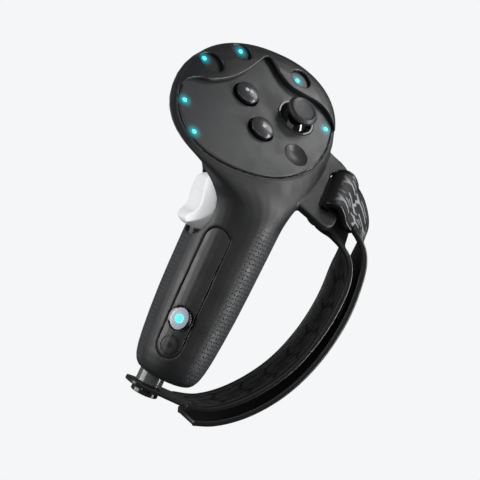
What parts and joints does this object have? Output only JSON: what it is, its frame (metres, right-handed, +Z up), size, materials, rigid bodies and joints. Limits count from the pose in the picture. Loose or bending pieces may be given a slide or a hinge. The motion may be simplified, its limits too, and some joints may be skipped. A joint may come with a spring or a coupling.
{
  "type": "vr motion controller",
  "caption": "Hand-held motion controller with a tilted oval face, thumbstick, buttons, two triggers, a rounded handle and a curved knuckle strap.",
  "frame": {"origin": "middle of the grip, on the handle's axis", "axes": "+Z up the handle towards the head, +Y forwards, +X to the right towards the strap"},
  "size_m": [0.1153, 0.0612, 0.1671],
  "materials": {
    "cover_rubber": "matte soft-touch, dotted grip",
    "inlay_plastic": "satin",
    "mark_grey": "satin",
    "visor_plastic": "fine satin",
    "face_plastic": "fine spark-eroded texture",
    "sensor_gloss": "gloss",
    "led_cyan": "lit",
    "window_silver": "gloss",
    "white_plastic": "satin",
    "frame_plastic": "matte",
    "circuit_green": "solder mask",
    "chip_black": "matte",
    "steel": "bright",
    "flex_amber": "satin film",
    "ring_gloss": "gloss",
    "stick_rubber": "matte",
    "button_grey": "gloss",
    "cell_wrap": "printed film, no lettering",
    "contact_brass": "bright",
    "plug_grey": "gloss",
    "stud_black": "gloss",
    "strap_black": "satin",
    "strap_grey": "matte, tread pattern"
  },
  "bodies": {
    "root": {"grip_cover": "cover_rubber", "visor": "visor_plastic", "face_plate": "face_plastic", "sensor_windows": "sensor_gloss", "tracking_leds": "led_cyan", "handle_inlay": "inlay_plastic", "hand_mark": "mark_grey", "status_window": "window_silver", "status_led": "led_cyan", "body_shell_left": "white_plastic", "body_shell_right": "white_plastic", "board_frame": "frame_plastic", "main_board": "circuit_green", "board_chips": "chip_black", "tact_switches": "chip_black", "board_screws": "steel", "led_flex": "flex_amber", "haptic_motor": "steel", "stick_socket_ring": "ring_gloss", "stick_base": "steel", "grip_trigger_frame": "steel", "grip_trigger_pin": "steel", "grip_trigger_spring": "steel", "index_trigger_frame": "steel", "index_trigger_pin": "steel", "index_trigger_spring": "steel", "battery_cell": "cell_wrap", "battery_contact": "contact_brass", "battery_spring": "steel", "base_plug": "plug_grey", "strap_stud": "stud_black", "strap_tab": "strap_black", "strap_inner_band": "strap_grey", "strap_outer_band": "strap_black", "strap_lock_tab": "strap_black"},
    "button_a": {"button_a": "button_grey"},
    "button_b": {"button_b": "button_grey"},
    "menu_button": {"menu_button": "face_plastic"},
    "stick_x": {"stick_yoke": "chip_black"},
    "stick_y": {"stick_hub": "chip_black"},
    "stick": {"stick_shaft": "steel", "stick_dome": "sensor_gloss", "stick_cap": "stick_rubber"},
    "grip_trigger": {"grip_trigger": "white_plastic"},
    "index_trigger": {"index_trigger": "white_plastic"}
  },
  "joints": [
    {"name": "button_a_press", "type": "slide", "parent": "root", "child": "button_a", "axis": [0, 0.7373, -0.6756], "range_m": [0, 0.001], "stiffness_N_per_m": 500, "springref_m": -0.001},
    {"name": "button_b_press", "type": "slide", "parent": "root", "child": "button_b", "axis": [0, 0.7373, -0.6756], "range_m": [0, 0.001], "stiffness_N_per_m": 500, "springref_m": -0.001},
    {"name": "menu_button_press", "type": "slide", "parent": "root", "child": "menu_button", "axis": [0, 0.7373, -0.6756], "range_m": [0, 0.0005], "stiffness_N_per_m": 900, "springref_m": -0.0005},
    {"name": "stick_tilt_side", "type": "hinge", "parent": "root", "child": "stick_x", "pos_m": [0.0102, 0.01908, 0.07605], "axis": [1, 0, 0], "range_deg": [-15, 15], "stiffness_Nm_per_rad": 0.05},
    {"name": "stick_tilt_front", "type": "hinge", "parent": "stick_x", "child": "stick_y", "pos_m": [0.0102, 0.01908, 0.07605], "axis": [0, 0.6756, 0.7373], "range_deg": [-15, 15], "stiffness_Nm_per_rad": 0.05},
    {"name": "stick_click", "type": "slide", "parent": "stick_y", "child": "stick", "axis": [0, 0.7373, -0.6756], "range_m": [0, 0.0004], "stiffness_N_per_m": 2500, "springref_m": -0.0004},
    {"name": "grip_trigger_pull", "type": "hinge", "parent": "root", "child": "grip_trigger", "pos_m": [-0.0105, 0, 0.0405], "axis": [0, -1, 0], "range_deg": [0, 12], "stiffness_Nm_per_rad": 0.12, "springref_deg": -8.59},
    {"name": "index_trigger_pull", "type": "hinge", "parent": "root", "child": "index_trigger", "pos_m": [-0.0063, 0.0225, 0.0705], "axis": [-1, 0, 0], "range_deg": [0, 15], "stiffness_Nm_per_rad": 0.12, "springref_deg": -8.59}
  ]
}
